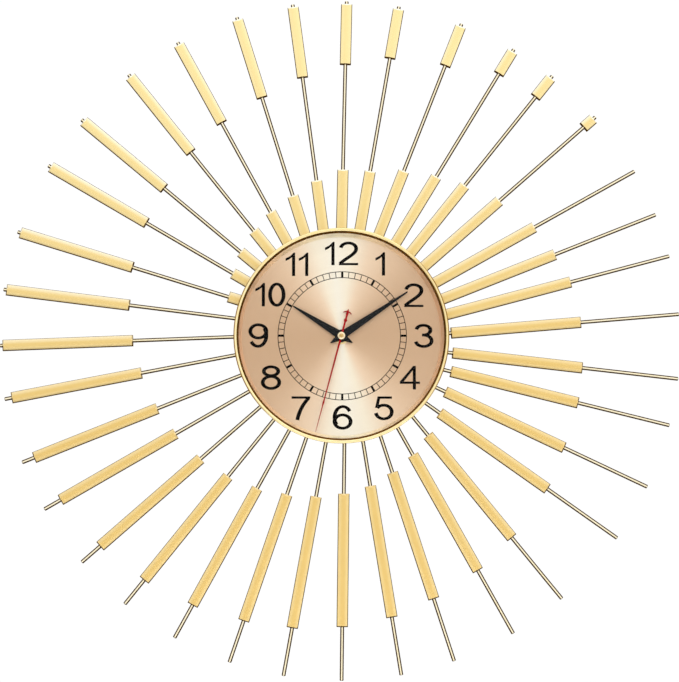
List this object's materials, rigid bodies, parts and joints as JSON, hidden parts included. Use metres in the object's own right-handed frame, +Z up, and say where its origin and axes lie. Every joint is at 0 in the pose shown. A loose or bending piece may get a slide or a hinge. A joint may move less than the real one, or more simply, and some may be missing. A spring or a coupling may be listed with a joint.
{
  "type": "sunburst wall clock",
  "caption": "Round wall clock with a sunburst of straight metal rods and flat sliding bars around a spun metal dial, three hands and a battery quartz movement.",
  "frame": {"origin": "on the axis of the hands, halfway between the wall and the front of the bezel", "axes": "+Z up towards twelve o'clock, +X to the viewer's right, the dial faces -Y and the wall is at y = +18.6 mm"},
  "size_m": [0.6991, 0.0372, 0.6999],
  "materials": {
    "bezel_gold": "polished gold plate",
    "rod_gold": "polished gold plate",
    "bar_gold": "satin gold anodised",
    "gold_paint": "gold paint",
    "glass": "clear",
    "rubber": "matte",
    "rehaut": "satin tan paint",
    "dial": "spun rose gold",
    "zinc_steel": "zinc plate",
    "black_plastic": "fine spark texture",
    "white_plastic": "natural",
    "wheel_plastic": "moulded acetal",
    "brass": "turned",
    "steel": "ground",
    "magnet": "sintered magnet",
    "soft_iron": "stamped",
    "copper": "enamelled winding",
    "board_green": "solder mask",
    "resin_black": "sealed",
    "nickel": "nickel plate",
    "cell_sleeve": "printed sleeve",
    "hand_black": "satin black paint",
    "hand_red": "satin red paint",
    "cap_gold": "satin gold plate"
  },
  "bodies": {
    "clock_body": {"bezel_ring": "bezel_gold", "brass_washer": "brass", "case_pan": "gold_paint", "circuit_board": "board_green", "coil_bobbin": "white_plastic", "coil_core": "soft_iron", "coil_winding": "copper", "control_chip": "resin_black", "crystal_can": "nickel", "dial_plate": "dial", "glass_lens": "glass", "hanger_bracket": "gold_paint", "hex_nut": "brass", "lens_gasket": "rubber", "movement_case": "black_plastic", "movement_cover": "black_plastic", "movement_screws": "zinc_steel", "negative_contact": "nickel", "positive_contact": "nickel", "ray_bars_1": "bar_gold", "ray_bars_2": "bar_gold", "ray_bars_3": "bar_gold", "ray_bars_4": "bar_gold", "ray_bars_5": "bar_gold", "ray_bars_6": "bar_gold", "ray_rods_1": "rod_gold", "ray_rods_2": "rod_gold", "ray_rods_3": "rod_gold", "ray_rods_4": "rod_gold", "ray_rods_5": "rod_gold", "ray_rods_6": "rod_gold", "ray_strap_1": "gold_paint", "ray_strap_2": "gold_paint", "ray_strap_3": "gold_paint", "ray_strap_4": "gold_paint", "ray_strap_5": "gold_paint", "ray_strap_6": "gold_paint", "rehaut_ring": "rehaut", "rubber_washer": "rubber", "standoff_posts": "black_plastic", "stator": "soft_iron", "strap_nuts": "zinc_steel", "strap_screws": "zinc_steel", "threaded_bush": "brass", "train_bridge": "white_plastic", "wall_pads": "rubber"},
    "minute_works": {"minute_arbor": "brass", "minute_hand": "hand_black"},
    "hour_works": {"hour_wheel": "wheel_plastic", "hour_hand": "hand_black"},
    "motion_works": {"motion_wheel": "wheel_plastic", "setting_knob": "black_plastic"},
    "second_works": {"second_arbor": "steel", "second_hand": "hand_red", "second_cap": "cap_gold"},
    "third_works": {"third_wheel": "wheel_plastic"},
    "intermediate_works": {"intermediate_wheel": "wheel_plastic"},
    "rotor_works": {"rotor": "magnet"},
    "centre_works": {"centre_wheel": "wheel_plastic"},
    "battery_cell": {"battery": "cell_sleeve"}
  },
  "joints": [
    {"name": "minute_turn", "type": "hinge", "parent": "clock_body", "child": "minute_works", "pos_m": [0, 0, 0], "axis": [0, 1, 0], "continuous": true},
    {"name": "hour_turn", "type": "hinge", "parent": "clock_body", "child": "hour_works", "pos_m": [0, 0, 0], "axis": [0, 1, 0], "continuous": true},
    {"name": "motion_turn", "type": "hinge", "parent": "clock_body", "child": "motion_works", "pos_m": [-0.00308, 0, 0.00846], "axis": [0, 1, 0], "continuous": true},
    {"name": "second_turn", "type": "hinge", "parent": "clock_body", "child": "second_works", "pos_m": [0, 0, 0], "axis": [0, 1, 0], "continuous": true},
    {"name": "third_turn", "type": "hinge", "parent": "clock_body", "child": "third_works", "pos_m": [-0.009, 0, 0], "axis": [0, 1, 0], "continuous": true},
    {"name": "intermediate_turn", "type": "hinge", "parent": "clock_body", "child": "intermediate_works", "pos_m": [0.0072, 0, 0], "axis": [0, 1, 0], "continuous": true},
    {"name": "rotor_turn", "type": "hinge", "parent": "clock_body", "child": "rotor_works", "pos_m": [0.0107, 0, 0.00606], "axis": [0, 1, 0], "continuous": true},
    {"name": "centre_turn", "type": "hinge", "parent": "clock_body", "child": "centre_works", "pos_m": [0, 0, 0], "axis": [0, 1, 0], "continuous": true},
    {"name": "battery_slide", "type": "slide", "parent": "clock_body", "child": "battery_cell", "axis": [0, 1, 0], "range_m": [0, 0.03]}
  ],
  "couplings": [
    {"joint": "hour_turn", "follows": "minute_turn", "ratio": 0.083333},
    {"joint": "motion_turn", "follows": "minute_turn", "ratio": -0.33333},
    {"joint": "third_turn", "follows": "second_turn", "ratio": -0.13333},
    {"joint": "centre_turn", "follows": "second_turn", "ratio": 0.016667},
    {"joint": "intermediate_turn", "follows": "second_turn", "ratio": -5},
    {"joint": "rotor_turn", "follows": "second_turn", "ratio": 30}
  ]
}
